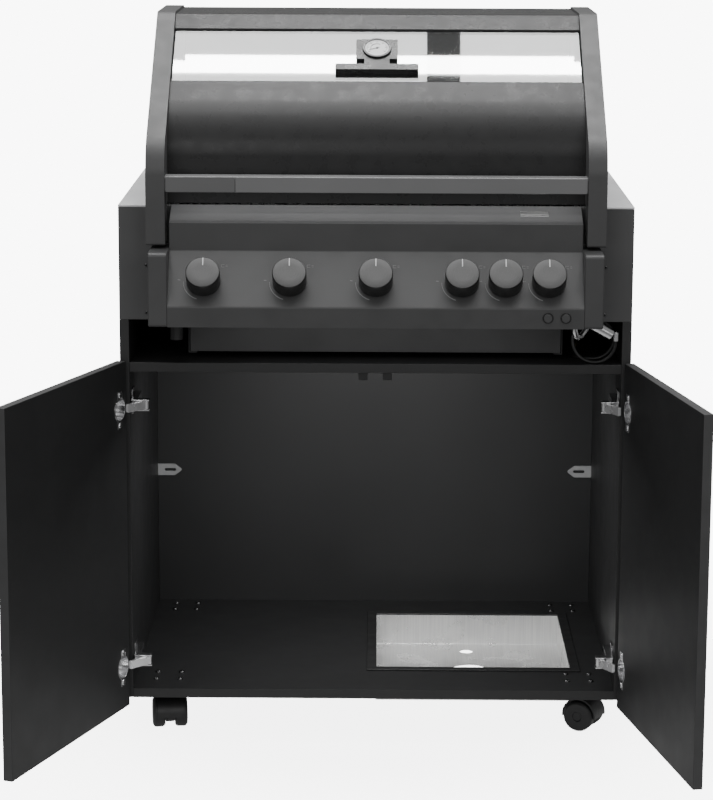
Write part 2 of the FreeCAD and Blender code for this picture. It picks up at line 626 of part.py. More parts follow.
# ---------------------------------------------------------------------------------------------
# Hood: cast side plates, sheet skins, glass, handle bar and thermometer
# ---------------------------------------------------------------------------------------------
SLOPE = dim("slope_rise") / dim("slope_run")
HOOD_TURN = math.degrees(math.atan(SLOPE))
SKIN_HALF = "casting_outer - casting_width"


def on_glass_plane(y):
    """The height of the plane that the glass and the sheet below it lie in."""
    return dim("inset_height") + SLOPE * y


def make_hood():
    front, top, back, low = dim("handle_front"), 1148, 421, 868
    ridge = 10                     # how far the castings stand out above the glass plane
    slant_end = (top - on_glass_plane(0) - ridge) / SLOPE
    profile = [(front, 809, 3), (-20, 809, 3), (-20, low, 4), (back, low, 5), (back, top, 40),
               (slant_end, top, 25), (front, on_glass_plane(front) + ridge, 70)]
    under = 14                     # the pocket stops this far under the skins
    pocket = [(8, low + 10, 4), (392, low + 10, 4), (392, top - 20, 20),
              ((top - 20 + under - on_glass_plane(0)) / SLOPE, top - 20, 15),
              (8, on_glass_plane(8) - under, 60)]
    for side_name, start, space in (("left", "-casting_outer", "-casting_outer + 5"),
                                    ("right", SKIN_HALF, SKIN_HALF)):
        plate = padded("hood_plate_" + side_name, profile, "casting_width", start)
        hollow = padded("hood_pocket_" + side_name, pocket, "casting_width - 5", space)
        bore = rod("hood_bore_" + side_name, (f"{start} - 5", "lid_pivot_y", "lid_pivot_z"),
                   "lid_pin_radius + running_fit", 60, **ALONG_X)
        node("lid_casting_" + side_name,
             cut("hood_side_" + side_name, plate, fuse("hood_cuts_" + side_name, [hollow, bore])))

    width, start = f"2 * ({SKIN_HALF})", f"-({SKIN_HALF})"
    glass_low, glass_high, seal_high = 71, 166.7, 172
    sheet_front = -5
    skin = [(sheet_front, low - 2), (sheet_front, on_glass_plane(sheet_front)),
            (glass_low, on_glass_plane(glass_low))]
    node("lid_sheet", folded("hood_front_skin", skin, "lid_sheet", (0, 105, 0), width, start))
    roof = top - 3.5
    shell = [(seal_high, on_glass_plane(seal_high)), ((roof - on_glass_plane(0)) / SLOPE, roof),
             (415, roof), (415, low + 4)]
    node("lid_top_panel", folded("hood_top_skin", shell, "lid_sheet", (0, 8, 25, 0), width, start))
    pane = [(glass_low, on_glass_plane(glass_low)), (glass_high, on_glass_plane(glass_high))]
    glass = folded("hood_pane", pane, "glass_thick", (0, 0), "640", "-320")
    centre = (0, 126.2, on_glass_plane(126.2))
    drill = group("gauge_hole", [rod("gauge_hole_rod", (0, 0, -20), 6, 40)])
    node("lid_glass", cut("hood_glass", glass, place(drill, centre, (1, 0, 0), HOOD_TURN)))
    strip = [(glass_high, on_glass_plane(glass_high)), (seal_high, on_glass_plane(seal_high))]
    node("glass_seal", folded("hood_seal", strip, 4, (0, 0), width, start))

    bar = [(front + 1.5, dim("handle_low"), 4), (dim("handle_back"), dim("handle_low"), 3),
           (dim("handle_back"), dim("handle_high"), 3), (front + 1.5, dim("handle_high"), 4)]
    node("handle_bar", padded("handle", bar, width, start))
    trim_height = "handle_high - handle_low - 2"
    trims = [box("trim_left", (-320, "handle_front", "handle_low + 1"), (105, 1.5, trim_height)),
             box("trim_right", (-214, "handle_front", "handle_low + 1"), (534, 1.5, trim_height))]
    node("handle_trim", group("trim_set", trims))

    plate = box("gauge_plate", (-32.5, -24, 0), (65, 47, 8))
    sill = box("gauge_sill", (-65, -50, 0), (130, 14, 9))
    neck = box("gauge_neck", (-20, -37, 0), (40, 14, 8))
    stem_hole = rod("gauge_stem_hole", (0, 0, -5), 4, 40)
    housing = cut("gauge_housing", fuse("gauge_blocks", [plate, sill, neck]), stem_hole)
    node("thermometer_housing", place(housing, centre, (1, 0, 0), HOOD_TURN))
    section = [(0, -45, 0), (3, -45, 1), (3, 8, 0), (22.75, 8, 0), (22.75, 11.5, 1.5), (18.5, 11.5, 0),
               (18.5, 10, 0), (0, 10, 0)]
    node("thermometer_gauge", turned("gauge", section, centre, (1, 0, 0), HOOD_TURN))

    brackets = []
    for side in (-1, 1):
        ear = box(f"bracket_{side}", (f"{side} * (casting_outer + 3) - 2", 398, "cabinet_top + worktop_sheet"),
                  (4, 34, 50))
        foot = box(f"bracket_foot_{side}", (f"{side} * (casting_outer + 12) - 10.5", 398,
                                            "cabinet_top + worktop_sheet"), (21, 34, 3))
        pin = rod(f"bracket_pin_{side}", (f"{side} * (casting_outer - 3) - 8", "lid_pivot_y",
                                          "lid_pivot_z"), "lid_pin_radius", 16, **ALONG_X)
        brackets.append(fuse(f"bracket_solid_{side}", [ear, foot, pin]))
    node("lid_hinge_brackets", group("bracket_set", brackets))


# ---------------------------------------------------------------------------------------------
# Gas line: inlet pipe, regulator, a loop of thin hose lying on the shelf, and its end nut
# ---------------------------------------------------------------------------------------------
def tube(name, route, radius):
    """A round tube along straight runs that are joined by the largest arcs they allow."""
    points = [Vector(*point) for point in route]
    edges = []
    start = points[0]
    for index in range(1, len(points) - 1):
        here = points[index]
        to_last = points[index - 1] - here
        to_next = points[index + 1] - here
        shorter = min(to_last.Length, to_next.Length)
        half_turn = (math.pi - to_last.getAngle(to_next)) / 2
        bend = 0.45 * shorter / math.tan(half_turn)
        to_last.normalize()
        to_next.normalize()
        tangent = 0.45 * shorter
        middle = here + (to_last + to_next).normalize() * (bend / math.cos(half_turn) - bend)
        edges.append(Part.LineSegment(start, here + to_last * tangent).toShape())
        edges.append(Part.Arc(here + to_last * tangent, middle, here + to_next * tangent).toShape())
        start = here + to_next * tangent
        print(f"{name}: point {index} radius {bend:.1f}")
    edges.append(Part.LineSegment(start, points[-1]).toShape())
    path = Part.Wire(edges)
    ring = Part.Wire(Part.makeCircle(radius, points[0], points[1] - points[0]))
    pipe = path.makePipeShell([ring], True, False)
    expected = math.pi * radius ** 2 * path.Length
    print(f"{name}: length {path.Length:.0f}, volume {pipe.Volume / expected:.4f} of section by length")
    return solid(name, pipe)


def between(name, start, end, radius):
    """A round bar between two points."""
    run = Vector(*end) - Vector(*start)
    made = doc.addObject("Part::Cylinder", name)
    bind(made, "Radius", radius)
    bind(made, "Height", run.Length)
    made.Placement = Placement(Vector(*start), Rotation(Vector(0, 0, 1), run))
    return made


HOSE_LOOP = (342, 650, 33)                  # centre X, centre Z and radius of the loop
REGULATOR = ((334, -6, 681), (368, -1, 662))


def hose_route():
    """One and a third turns of a loop that stands on the shelf, then a stretch to the back."""
    x, z, radius = HOSE_LOOP
    route = [(x + radius, 0, 652)]
    reach = radius / math.cos(math.radians(15))
    for step in range(15):
        angle = math.radians(-15 - 30 * step)
        route.append((x + reach * math.cos(angle), 0.5 + 2.6 * step, z + reach * math.sin(angle)))
    return route + [(329, 41, 617), (313, 56, 617), (309, 80, 617), (315, 112, 617), (328, 142, 617),
                    (333, 172, 618), (331, 198, 622)]


def make_gas_line(manifold):
    doc.recompute()
    line = manifold.Placement.Base
    start, end = REGULATOR
    inlet = [(dim("manifold_half"), line.y, line.z), (306, line.y, line.z), (306, line.y, 655), start]
    pipe = tube("inlet", inlet, 4.5)
    body = between("regulator_body", start, end, 9)
    nipple = rod("regulator_nipple", (HOSE_LOOP[0] + HOSE_LOOP[2], 0, 652), 4.5, 14)
    node("gas_inlet", group("inlet_set", [pipe, fuse("regulator", [body, nipple])]))
    route = hose_route()
    node("gas_hose", tube("hose", route, dim("hose_radius")))
    tail = Vector(*route[-1]) - Vector(*route[-2])
    tip = Vector(*route[-1])
    node("hose_end_nut", between("end_nut", tuple(tip), tuple(tip + tail.normalize() * 24), 8))


# ---------------------------------------------------------------------------------------------
# Build, check and write
# ---------------------------------------------------------------------------------------------
caster_bolts, caster_bolt_holes = make_caster_mounts()
housing_carriers = make_cabinet(caster_bolts, caster_bolt_holes)
for corner_name, (caster_x, caster_y, caster_turn) in CASTERS.items():
    make_caster(corner_name, caster_x, caster_y, caster_turn)
make_door("left", -1, dim("door_open_left"))
make_door("right", 1, dim("door_open_right"))
make_hinge_arms_and_links()
make_housing()
make_firebox()
gas_rail = make_controls()
make_tray(housing_carriers)
make_hood()
make_gas_line(gas_rail)
doc.recompute()

for item in doc.Objects:
    if "Invalid" in item.State or "Error" in item.State:
        raise RuntimeError(f"{item.Name} failed: {item.State}")
for item in NODES:
    if item.Shape.isNull() or not item.Shape.isValid():
        raise RuntimeError(f"{item.Label} has no valid shape")

os.makedirs("parts", exist_ok=True)
for item in NODES:
    item.Shape.exportStep(f"parts/{item.Label}.step")
print(len(NODES), "sub-parts written")
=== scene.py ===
"""Looks of the gas barbecue grill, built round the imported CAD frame.  Metres."""
import bmesh
import bpy
import json
import math
from mathutils import Matrix, Vector


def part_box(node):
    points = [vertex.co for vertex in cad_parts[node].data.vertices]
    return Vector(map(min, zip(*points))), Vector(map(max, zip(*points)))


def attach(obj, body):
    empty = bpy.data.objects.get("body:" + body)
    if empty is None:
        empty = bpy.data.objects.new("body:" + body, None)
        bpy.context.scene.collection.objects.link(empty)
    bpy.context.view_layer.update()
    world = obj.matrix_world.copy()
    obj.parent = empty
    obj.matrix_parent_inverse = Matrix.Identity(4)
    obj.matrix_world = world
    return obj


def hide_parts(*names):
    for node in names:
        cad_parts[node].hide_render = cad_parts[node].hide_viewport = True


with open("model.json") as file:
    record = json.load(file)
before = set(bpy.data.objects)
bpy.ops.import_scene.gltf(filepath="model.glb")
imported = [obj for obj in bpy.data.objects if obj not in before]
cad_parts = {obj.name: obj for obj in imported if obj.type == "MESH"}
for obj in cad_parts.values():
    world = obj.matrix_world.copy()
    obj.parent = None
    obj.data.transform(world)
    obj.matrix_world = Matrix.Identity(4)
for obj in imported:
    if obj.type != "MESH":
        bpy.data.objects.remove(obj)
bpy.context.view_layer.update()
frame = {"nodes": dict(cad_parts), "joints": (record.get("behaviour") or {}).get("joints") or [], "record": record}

NODES = frame["nodes"]
BODY_OF = {node: body for body, nodes in frame["record"]["behaviour"]["bodies"].items()
           for node in nodes}
SLOT_OF = {part["node"]: part["material_slot"] for part in frame["record"]["subparts"]}
MM = 0.001
CASTER_CORNERS = ("front_left", "front_right", "rear_left", "rear_right")
BOLT_PITCH = 19 * MM
FASCIA_SCREW_X = 0.357
FASCIA_SCREW_LEVELS = (0.693, 0.768)
BAR_PLATE_END_X = -0.2145


# ---------------------------------------------------------------------------------------------
# Materials
# ---------------------------------------------------------------------------------------------
class Surface:
    """One procedural material: its node tree and short ways to add nodes to it."""

    def __init__(self, name, **inputs):
        self.material = bpy.data.materials.new(name)
        self.material.use_nodes = True
        self.tree = self.material.node_tree
        self.shader = self.tree.nodes["Principled BSDF"]
        for socket, number in inputs.items():
            self.shader.inputs[socket.replace("_", " ")].default_value = number
        self.place = self.add("ShaderNodeTexCoord").outputs["Object"]

    def add(self, kind, links=(), **settings):
        made = self.tree.nodes.new(kind)
        for setting, content in settings.items():
            setattr(made, setting, content)
        for socket, source in dict(links).items():
            if hasattr(source, "is_linked"):
                self.tree.links.new(source, made.inputs[socket])
            else:
                made.inputs[socket].default_value = source
        return made

    def stretched(self, scale):
        return self.add("ShaderNodeMapping", {"Vector": self.place, "Scale": scale}).outputs["Vector"]

    def noise(self, scale, detail=3.0, stretch=(1, 1, 1), roughness=0.5):
        return self.add("ShaderNodeTexNoise", {"Vector": self.stretched(stretch), "Scale": scale,
                                               "Detail": detail, "Roughness": roughness}).outputs["Fac"]

    def spread(self, source, low, high, start=0.35, end=0.65):
        """Carries a pattern's middle range onto low to high."""
        return self.add("ShaderNodeMapRange", {"Value": source, "From Min": start, "From Max": end,
                                               "To Min": low, "To Max": high}).outputs["Result"]

    def colour_between(self, source, first, second):
        ramp = self.add("ShaderNodeValToRGB", {"Fac": source})
        ramp.color_ramp.elements[0].position = 0.3
        ramp.color_ramp.elements[1].position = 0.7
        ramp.color_ramp.elements[0].color = (*first, 1)
        ramp.color_ramp.elements[1].color = (*second, 1)
        return ramp.outputs["Color"]

    def link(self, source, socket):
        self.tree.links.new(source, self.shader.inputs[socket])

    def bump(self, height, distance, strength=1.0, normal=None):
        links = {"Height": height, "Distance": distance, "Strength": strength}
        if normal is not None:
            links["Normal"] = normal
        made = self.add("ShaderNodeBump", links).outputs["Normal"]
        self.link(made, "Normal")
        return made


def shade(grey, tint=(1, 1, 1)):
    return tuple(grey * part for part in tint)


def coated(name, grey, rough, spread=0.12, grain=900, depth=0.00006, cloud=9, tint=(0.985, 0.99, 1.0),
           **inputs):
    """Paint or powder coat: faint clouds of tone, a fine orange-peel grain and uneven gloss."""
    made = Surface(name, **inputs)
    clouds = made.noise(cloud, 4)
    made.link(made.colour_between(clouds, shade(grey * (1 - spread), tint),
                                  shade(grey * (1 + spread), tint)), "Base Color")
    made.link(made.spread(made.noise(cloud * 5, 3), rough - 0.05, rough + 0.06), "Roughness")
    made.bump(made.noise(grain, 2), depth)
    return made.material


def brushed(name, grey, rough, along, spread=0.10, lines=420, depth=0.00003, tint=(1, 1, 1), **inputs):
    """Metal with fine straight brush lines running along one axis."""
    made = Surface(name, Metallic=1.0, **inputs)
    stretch = tuple(0.02 if axis == along else 1.0 for axis in "xyz")
    streaks = made.noise(lines, 3, stretch)
    made.link(made.colour_between(streaks, shade(grey * (1 - spread), tint),
                                  shade(grey * (1 + spread), tint)), "Base Color")
    made.link(made.spread(streaks, rough - 0.06, rough + 0.08), "Roughness")
    made.bump(streaks, depth, 0.6)
    return made.material


def spun(name, grey, rough):
    """Metal turned on a lathe: brush rings about the piece's own Z axis."""
    made = Surface(name, Metallic=0.85)
    parts = made.add("ShaderNodeSeparateXYZ", {"Vector": made.place}).outputs
    square_x = made.add("ShaderNodeMath", {0: parts["X"], 1: parts["X"]}, operation="MULTIPLY").outputs[0]
    square_y = made.add("ShaderNodeMath", {0: parts["Y"], 1: parts["Y"]}, operation="MULTIPLY").outputs[0]
    total = made.add("ShaderNodeMath", {0: square_x, 1: square_y}, operation="ADD").outputs[0]
    radius = made.add("ShaderNodeMath", {0: total, 1: 0.5}, operation="POWER").outputs[0]
    angle = made.add("ShaderNodeMath", {0: parts["Y"], 1: parts["X"]}, operation="ARCTAN2").outputs[0]
    around = made.add("ShaderNodeCombineXYZ", {"X": radius, "Y": made.add(
        "ShaderNodeMath", {0: angle, 1: 0.0006}, operation="MULTIPLY").outputs[0]}).outputs[0]
    rings = made.add("ShaderNodeTexNoise", {"Vector": around, "Scale": 2600, "Detail": 2.0}).outputs["Fac"]
    made.link(made.colour_between(rings, shade(grey * 0.82), shade(grey * 1.18)), "Base Color")
    made.link(made.spread(rings, rough - 0.05, rough + 0.07), "Roughness")
    made.bump(rings, 0.00002, 0.6)
    return made.material


def moulded(name, grey, rough, depth=0.00008, grain=1400, **inputs):
    """Moulded plastic or rubber: even colour, fine grain, a few softer patches."""
    return coated(name, grey, rough, spread=0.08, grain=grain, depth=depth, cloud=30, **inputs)


def laminate():
    """Black melamine board: even, with a very fine pearl texture and faint wiping marks."""
    made = Surface("black laminate", Specular_IOR_Level=0.42)
    wipes = made.noise(5, 5, (1.0, 1.0, 0.25))
    made.link(made.colour_between(wipes, (0.0200, 0.0202, 0.0206), (0.0226, 0.0228, 0.0233)),
              "Base Color")
    made.link(made.spread(made.noise(14, 4), 0.43, 0.50), "Roughness")
    made.bump(made.noise(1100, 2), 0.00007)
    return made.material


def polished(name, grey, rough=0.10, tint=(1, 1, 1.01), metallic=1.0):
    """Plated steel: bright, with small smears in its gloss and a slight unevenness."""
    made = Surface(name, Metallic=metallic)
    smear = made.noise(60, 4)
    made.link(made.colour_between(smear, shade(grey * 0.9, tint), shade(grey * 1.06, tint)), "Base Color")
    made.link(made.spread(smear, rough - 0.04, rough + 0.09), "Roughness")
    made.bump(made.noise(180, 2), 0.00003, 0.5)
    return made.material


def sheet_steel():
    """Bright stainless sheet, gently wavy between its folds, with fine brush lines."""
    made = Surface("bright stainless", Metallic=0.75)
    streaks = made.noise(500, 3, (1.0, 0.02, 0.02))
    made.link(made.colour_between(streaks, shade(0.78), shade(0.9, (1, 1, 0.985))), "Base Color")
    made.link(made.spread(made.noise(18, 4), 0.22, 0.42), "Roughness")
    waves = made.bump(made.noise(7, 2), 0.0007, 0.5)
    made.bump(streaks, 0.00002, 0.5, waves)
    return made.material


def clear_glass():
    made = Surface("hood glass", Roughness=0.015, IOR=1.52, Transmission_Weight=1.0,
                   Specular_IOR_Level=0.9, Coat_Weight=0.9, Coat_IOR=2.1, Coat_Roughness=0.02)
    film = made.noise(11, 4)
    made.link(made.colour_between(film, (0.86, 0.88, 0.88), (0.93, 0.945, 0.94)), "Base Color")
    made.bump(made.noise(3, 2), 0.0003, 0.4)
    return made.material


MATERIALS = {
    "black_board": laminate(),
    "fascia_steel": coated("fascia coat", 0.080, 0.46, spread=0.05),
    "worktop_steel": coated("worktop coat", 0.85, 0.42, spread=0.05),
    "cast_body": coated("casting coat", 0.060, 0.44, depth=0.00011, grain=620),
    "hood_sheet": coated("hood coat", 0.026, 0.30, spread=0.03, Specular_IOR_Level=0.27),
    "panel_sheet": coated("panel coat", 0.060, 0.38, spread=0.06, depth=0.00009, grain=700),
    "dark_steel": coated("black steel", 0.012, 0.45),
    "stainless": sheet_steel(),
    "bright_steel": polished("nickel plate", 0.80, 0.16),
    "caster_plastic": moulded("caster hood", 0.016, 0.38),
    "caster_tread": moulded("caster wheel", 0.020, 0.46, depth=0.00012),
    "hood_glass": clear_glass(),
    "seal": moulded("black seal", 0.003, 0.7, Specular_IOR_Level=0.05),
    "handle_metal": coated("handle metal", 0.13, 0.40),
    "trim_metal": coated("handle insert", 0.165, 0.46, spread=0.04),
    "gauge_black": coated("gauge bracket", 0.013, 0.28),
    "gauge_metal": polished("dark bezel", 0.09, 0.28),
    "knob_body": moulded("knob skirt", 0.012, 0.34),
    "grate_iron": coated("grate enamel", 0.016, 0.38, depth=0.0003, grain=260),
    "brass": polished("brass", 0.6, 0.25, (1.0, 0.80, 0.42)),
    "pipe_steel": polished("pipe steel", 0.80, 0.14),
    "hose_rubber": moulded("hose rubber", 0.008, 0.45),
}
KNOB_FACE = spun("knob face", 0.10, 0.46)
DIAL_WHITE = coated("dial white", 0.72, 0.4, spread=0.03)
MARK_WHITE = coated("white marking", 0.85, 0.5, spread=0.05)
MARK_GREY = coated("grey marking", 0.22, 0.5, spread=0.05)
PLATE_DARK = coated("dark trim plate", 0.120, 0.44, spread=0.04)
WELL_FRAME = coated("well frame", 0.020, 0.42)
LINK_STEEL = [polished("satin nickel", 0.85, 0.22, metallic=0.65)]
CLIP_GREY = moulded("clip plastic", 0.34, 0.42)
EDGE_BAND = moulded("edge band", 0.024, 0.42)
LABEL_SILVER = brushed("blank plate", 0.62, 0.30, "x")
TRAY_COAT = [coated("tray coat", 0.045, 0.42)]
# Panel coat made lighter for the ledge's upward-facing faces: painted light standing in for the overhead light
# falling on them
LEDGE_PAINTED_LIGHT_COAT = coated("ledge painted light coat", 0.15, 0.40, spread=0.04)
# Door edge band, much lighter than the board: partly the band's own colour, partly a painted highlight for light
# grazing the door edges
DOOR_EDGE_BAND_AND_HIGHLIGHT = moulded("door edge band with painted highlight", 0.070, 0.42)
INSIDE_COAT = coated("inside enamel", 0.012, 0.5)
ZINC = polished("zinc plate", 0.12, 0.36)


# ---------------------------------------------------------------------------------------------
# Mesh helpers
# ---------------------------------------------------------------------------------------------
def new_piece(name, body, materials, mesh, place=None):
    made = bpy.data.objects.new(name, mesh)
    bpy.context.scene.collection.objects.link(made)
    if place is not None:
        made.matrix_world = place
    for item in materials:
        mesh.materials.append(item)
    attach(made, body)
    return made


def smooth(mesh, degrees=35):
    mesh.polygons.foreach_set("use_smooth", [True] * len(mesh.polygons))
    mesh.set_sharp_from_angle(angle=math.radians(degrees))


def add_bevel(piece, width, segments=2, degrees=35):
    made = piece.modifiers.new("edges", "BEVEL")
    made.width = width
    made.segments = segments
    made.limit_method = "ANGLE"
    made.angle_limit = math.radians(degrees)
    flat = piece.modifiers.new("flat_faces", "WEIGHTED_NORMAL")
    flat.weight = 100
    flat.keep_sharp = True
    return piece


def eased(node, width=0.8 * MM, segments=2, materials=None, choose=None):
    """A copy of a CAD node with its sharp edges rounded, which stands for the node.
    choose(centre, normal) gives the number of a face's material."""
    mesh = NODES[node].data.copy()
    mesh.materials.clear()
    build = bmesh.new()
    build.from_mesh(mesh)
    bmesh.ops.remove_doubles(build, verts=build.verts, dist=2e-6)
    bmesh.ops.split_edges(build, edges=[edge for edge in build.edges if len(edge.link_faces) > 2])
    bmesh.ops.dissolve_limit(build, angle_limit=math.radians(0.6), verts=build.verts, edges=build.edges)
    if choose is not None:
        for face in build.faces:
            face.material_index = choose(face.calc_center_median(), face.normal)
    build.to_mesh(mesh)
    build.free()
    smooth(mesh)
    piece = new_piece(node + "_eased", BODY_OF[node],
                      materials or [MATERIALS[SLOT_OF[node]]], mesh)
    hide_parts(node)
    return add_bevel(piece, width, segments)


def mesh_of(build, name, degrees=35):
    mesh = bpy.data.meshes.new(name)
    bmesh.ops.recalc_face_normals(build, faces=build.faces)
    build.to_mesh(mesh)
    build.free()
    smooth(mesh, degrees)
    return mesh


def lathe(build, profile, steps=72, index=0):
    """Spins (radius, height) points about Z.  A radius of nought makes a pole."""
    rings = []
    for radius, height in profile:
        if radius < 1e-7:
            rings.append([build.verts.new((0, 0, height))])
        else:
            rings.append([build.verts.new((radius * math.cos(2 * math.pi * k / steps),
                                           radius * math.sin(2 * math.pi * k / steps), height))
                          for k in range(steps)])
    for first, second in zip(rings, rings[1:]):
        for k in range(steps):
            corners = [first[k % len(first)], first[(k + 1) % len(first)],
                       second[(k + 1) % len(second)], second[k % len(second)]]
            unique = list(dict.fromkeys(corners))
            if len(unique) > 2:
                build.faces.new(unique).material_index = index


def block(build, low, high, index=0, turn=None):
    """A plain box between two corners, as part of a larger mesh."""
    made = bmesh.ops.create_cube(build, size=1.0)["verts"]
    size = Vector(high) - Vector(low)
    middle = (Vector(high) + Vector(low)) / 2
    matrix = Matrix.Translation(middle) @ Matrix.Diagonal((*size, 1))
    if turn is not None:
        matrix = turn @ matrix
    bmesh.ops.transform(build, matrix=matrix, verts=made)
    for face in {face for vert in made for face in vert.link_faces}:
        face.material_index = index


# ---------------------------------------------------------------------------------------------
# Camera, light and floor
# ---------------------------------------------------------------------------------------------
def make_camera():
    lens_data = bpy.data.cameras.new("camera")
    lens_data.lens = 121.7
    lens_data.sensor_width = 36.0
    lens_data.clip_end = 50.0
    made = bpy.data.objects.new("camera", lens_data)
    made.location = (-0.0025, -4.159, 1.396)
    tilt, pan, roll = math.radians(90 - 11.42), math.radians(0.367), math.radians(0.246)
    made.rotation_euler = (Matrix.Rotation(pan, 3, "Z") @ Matrix.Rotation(tilt, 3, "X")
                           @ Matrix.Rotation(roll, 3, "Z")).to_euler()
    bpy.context.scene.collection.objects.link(made)
    bpy.context.scene.camera = made


def area_light(name, place, aim, size, watts, spread=180):
    data = bpy.data.lights.new(name, "AREA")
    data.shape = "RECTANGLE"
    data.size, data.size_y = size
    data.energy = watts
    data.spread = math.radians(spread)
    made = bpy.data.objects.new(name, data)
    made.location = place
    made.rotation_euler = (Vector(aim) - Vector(place)).to_track_quat("-Z", "Y").to_euler()
    bpy.context.scene.collection.objects.link(made)


def make_world():
    """A white backdrop that gives the pieces only a weak, even light."""
    world = bpy.data.worlds.new("studio")
    bpy.context.scene.world = world
    world.use_nodes = True
    tree = world.node_tree
    backdrop = tree.nodes["Background"]
    backdrop.inputs["Color"].default_value = (1, 1, 1, 1)
    backdrop.inputs["Strength"].default_value = 9.0
    ambient = tree.nodes.new("ShaderNodeBackground")
    ambient.inputs["Strength"].default_value = 0.30
    paths = tree.nodes.new("ShaderNodeLightPath")
    either = tree.nodes.new("ShaderNodeMixShader")
    tree.links.new(paths.outputs["Is Camera Ray"], either.inputs[0])
    tree.links.new(ambient.outputs[0], either.inputs[1])
    tree.links.new(backdrop.outputs[0], either.inputs[2])
    tree.links.new(either.outputs[0], tree.nodes["World Output"].inputs["Surface"])


def make_floor():
    """A pale floor that fades into the backdrop away from the cabinet."""
    build = bmesh.new()
    bmesh.ops.create_circle(build, cap_ends=True, segments=96, radius=2.6)
    floor = bpy.data.objects.new("floor", mesh_of(build, "floor"))
    bpy.context.scene.collection.objects.link(floor)
    floor.location = (0, 0.27, 0)
    ground = Surface("pale floor", Roughness=0.85, Specular_IOR_Level=0.1, Emission_Strength=0.45)
    ground.shader.inputs["Emission Color"].default_value = (1, 1, 1, 1)
    ground.link(ground.colour_between(ground.noise(3, 2), (0.86, 0.86, 0.86), (0.88, 0.88, 0.88)),
                "Base Color")
    away = ground.add("ShaderNodeVectorMath", {0: ground.place}, operation="LENGTH").outputs["Value"]
    ground.link(ground.spread(away, 0.42, 0.0, 0.40, 1.25), "Alpha")
    floor.data.materials.append(ground.material)


def make_lights():
    """A wide dim panel overhead in two halves with a brighter strip in each, a dimmer panel in
    front of them, soft fills from the front and weak lamps under the panel and inside the cabinet."""
    area_light("overhead_left", (-0.50, 0.30, 2.45), (-0.50, 0.30, 0), (1.21, 1.7), 21, 150)
    area_light("overhead_right", (0.59, 0.30, 2.45), (0.59, 0.30, 0), (0.83, 1.7), 14.5, 150)
    area_light("strip", (0.006, 0.405, 2.44), (0.006, 0.405, 0), (0.88, 0.026), 1.6, 120)
    area_light("strip_edge", (0.006, 0.424, 2.44), (0.006, 0.424, 0), (0.81, 0.012), 0.68, 120)
    area_light("overhead_middle", (0, -0.90, 2.45), (0, -0.90, 0), (2.2, 0.7), 6.5)
    area_light("overhead_front", (0, -1.75, 2.45), (0, -1.2, 0), (2.2, 1.0), 3.5)
    area_light("front_fill", (-1.3, -4.0, 1.7), (0, 0.3, 0.3), (2.4, 1.6), 26)
    area_light("right_fill", (1.6, -4.0, 1.7), (0, 0.3, 0.3), (2.0, 1.6), 20)
    area_light("under_panel", (0, -0.07, 0.700), (0, 0.25, 0.60), (0.46, 0.03), 0.12)
    area_light("inside", (0, 0.10, 0.585), (0, 0.35, 0.05), (0.45, 0.12), 3.0)


# ---------------------------------------------------------------------------------------------
# Cabinet, doors and their fittings
# ---------------------------------------------------------------------------------------------
def make_cabinet_looks():
    board = [MATERIALS["black_board"], EDGE_BAND]
    for node in ("side_panels", "bottom_panel", "shelf_panel"):
        eased(node, 0.7 * MM, 2, board, lambda centre, normal: int(normal.y < -0.9))
    eased("back_panel", 0.5 * MM)
    for node in ("door_left", "door_right"):
        low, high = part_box(node)
        across = Vector((high.x - low.x, high.y - low.y, 0)).normalized()
        across.y *= 1 if node == "door_left" else -1
        # The door's side, top and bottom edge faces take the lighter band: real edge band plus painted highlight
        eased(node, 0.8 * MM, 2, [MATERIALS["black_board"], DOOR_EDGE_BAND_AND_HIGHLIGHT],
              lambda centre, normal, across=across: int(abs(normal.dot(across)) > 0.7
                                                        or abs(normal.z) > 0.7))
    eased("fascia_plates", 1.0 * MM)
    eased("worktop_strips", 0.6 * MM)
    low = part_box("bottom_panel")[1].z
    eased("bottle_well", 0.8 * MM, 2, [MATERIALS["stainless"], WELL_FRAME],
          lambda centre, normal: int(centre.z > low + 0.1 * MM))
    eased("clips_and_catches", 0.6 * MM, 2, [CLIP_GREY, MATERIALS["dark_steel"]],
          lambda centre, normal: int(centre.z > 0.4))
    for node in ("caster_plates", "support_rails", "battery_holder", "lid_hinge_brackets"):
        eased(node, 0.4 * MM)
    make_bolt_heads()


def make_bolt_heads():
    """Domed button heads with a round socket over the caster bolts, small ones on the fascia."""
    build = bmesh.new()
    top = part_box("bottom_panel")[1].z
    for corner in CASTER_CORNERS:
        pivot = Vector(joint_of(f"swivel_{corner}_turn")["pos_m"])
        for sx in (-1, 1):
            for sy in (-1, 1):
                dome(build, Matrix.Translation((pivot.x + sx * BOLT_PITCH, pivot.y + sy * BOLT_PITCH, top)),
                     5.0 * MM, 2.8 * MM)
    for side in (-1, 1):
        for level in FASCIA_SCREW_LEVELS:
            face = (Matrix.Translation((side * FASCIA_SCREW_X, 0, level))
                    @ Matrix.Rotation(math.radians(90), 4, "X"))
            dome(build, face, 3.0 * MM, 1.2 * MM)
    # The second material, black seal, paints shade into the socket floors
    piece = new_piece("bolt_heads", "cabinet", [ZINC, MATERIALS["seal"]],
                      mesh_of(build, "bolt_heads"))
    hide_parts("cabinet_fasteners")


def dome(build, matrix, radius, height):
    """A domed screw head with a round socket in its top."""
    part = bmesh.new()
    profile = [(0, height * 0.35), (radius * 0.42, height * 0.35), (radius * 0.45, height),
               (radius * 0.62, height * 0.97), (radius * 0.84, height * 0.70), (radius * 0.97, height * 0.3),
               (radius, 0)]
    lathe(part, profile, 24)
    # The floor of each socket takes the black seal material: painted shade in the recess
    for face in part.faces:
        face.material_index = int(face.calc_center_median().z < height * 0.4
                                  and face.calc_center_median().xy.length < radius * 0.4)
    merge(build, part, matrix)


